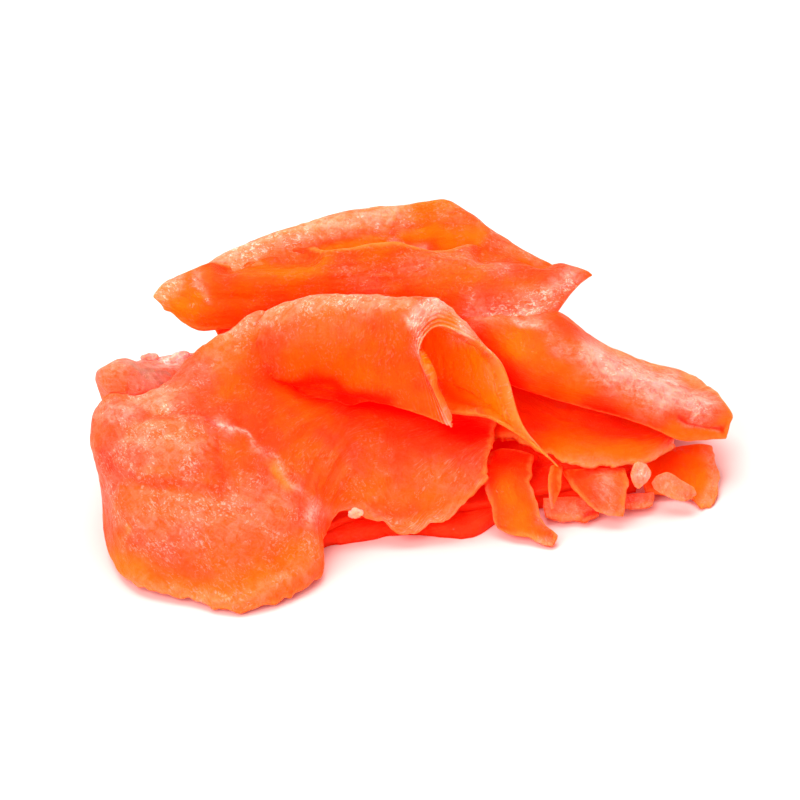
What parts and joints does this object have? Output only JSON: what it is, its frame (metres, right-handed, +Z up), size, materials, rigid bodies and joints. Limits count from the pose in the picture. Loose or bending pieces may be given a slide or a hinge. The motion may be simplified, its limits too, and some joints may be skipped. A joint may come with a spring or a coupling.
{
  "type": "smoked salmon",
  "caption": "Heap of thin, moist smoked salmon slices that fold and drape over each other, with a hollow pleat in front and small scraps on the right.",
  "frame": {"origin": "centre of the heap's footprint box, on the floor it lies on", "axes": "+X to the right along the heap as the picture shows it, +Y away from the viewer, +Z up"},
  "size_m": [0.1494, 0.1108, 0.0588],
  "materials": {
    "bottom_slice_flesh": "moist deep red flesh",
    "inner_slices_flesh": "moist deep red flesh",
    "red_strip_flesh": "moist deep red flesh",
    "low_strip_flesh": "moist deep red flesh",
    "back_right_slice_flesh": "moist orange flesh",
    "small_chunk_flesh": "moist pale flesh",
    "round_tongue_flesh": "moist orange flesh",
    "front_tongue_flesh": "moist orange flesh",
    "thin_sliver_flesh": "moist pale flesh",
    "pale_scrap_flesh": "moist pale flesh",
    "mid_right_slice_flesh": "moist orange flesh",
    "right_slice_flesh": "moist pink flesh",
    "front_slice_flesh": "moist coral flesh",
    "pleat_slice_flesh": "moist orange flesh",
    "left_back_slice_flesh": "moist pink flesh",
    "back_right_fold_flesh": "moist coral flesh",
    "back_left_slice_flesh": "moist pink flesh",
    "crest_slice_flesh": "moist coral flesh",
    "top_slice_flesh": "moist coral flesh"
  },
  "bodies": {
    "root": {"bottom_slice": "bottom_slice_flesh", "inner_slices": "inner_slices_flesh", "red_strip": "red_strip_flesh", "low_strip": "low_strip_flesh", "back_right_slice": "back_right_slice_flesh", "small_chunk": "small_chunk_flesh", "round_tongue": "round_tongue_flesh", "front_tongue": "front_tongue_flesh", "thin_sliver": "thin_sliver_flesh", "pale_scrap": "pale_scrap_flesh", "mid_right_slice": "mid_right_slice_flesh", "right_slice": "right_slice_flesh", "front_slice": "front_slice_flesh", "pleat_slice": "pleat_slice_flesh", "left_back_slice": "left_back_slice_flesh", "back_right_fold": "back_right_fold_flesh", "back_left_slice": "back_left_slice_flesh", "crest_slice": "crest_slice_flesh", "top_slice": "top_slice_flesh"}
  },
  "joints": []
}
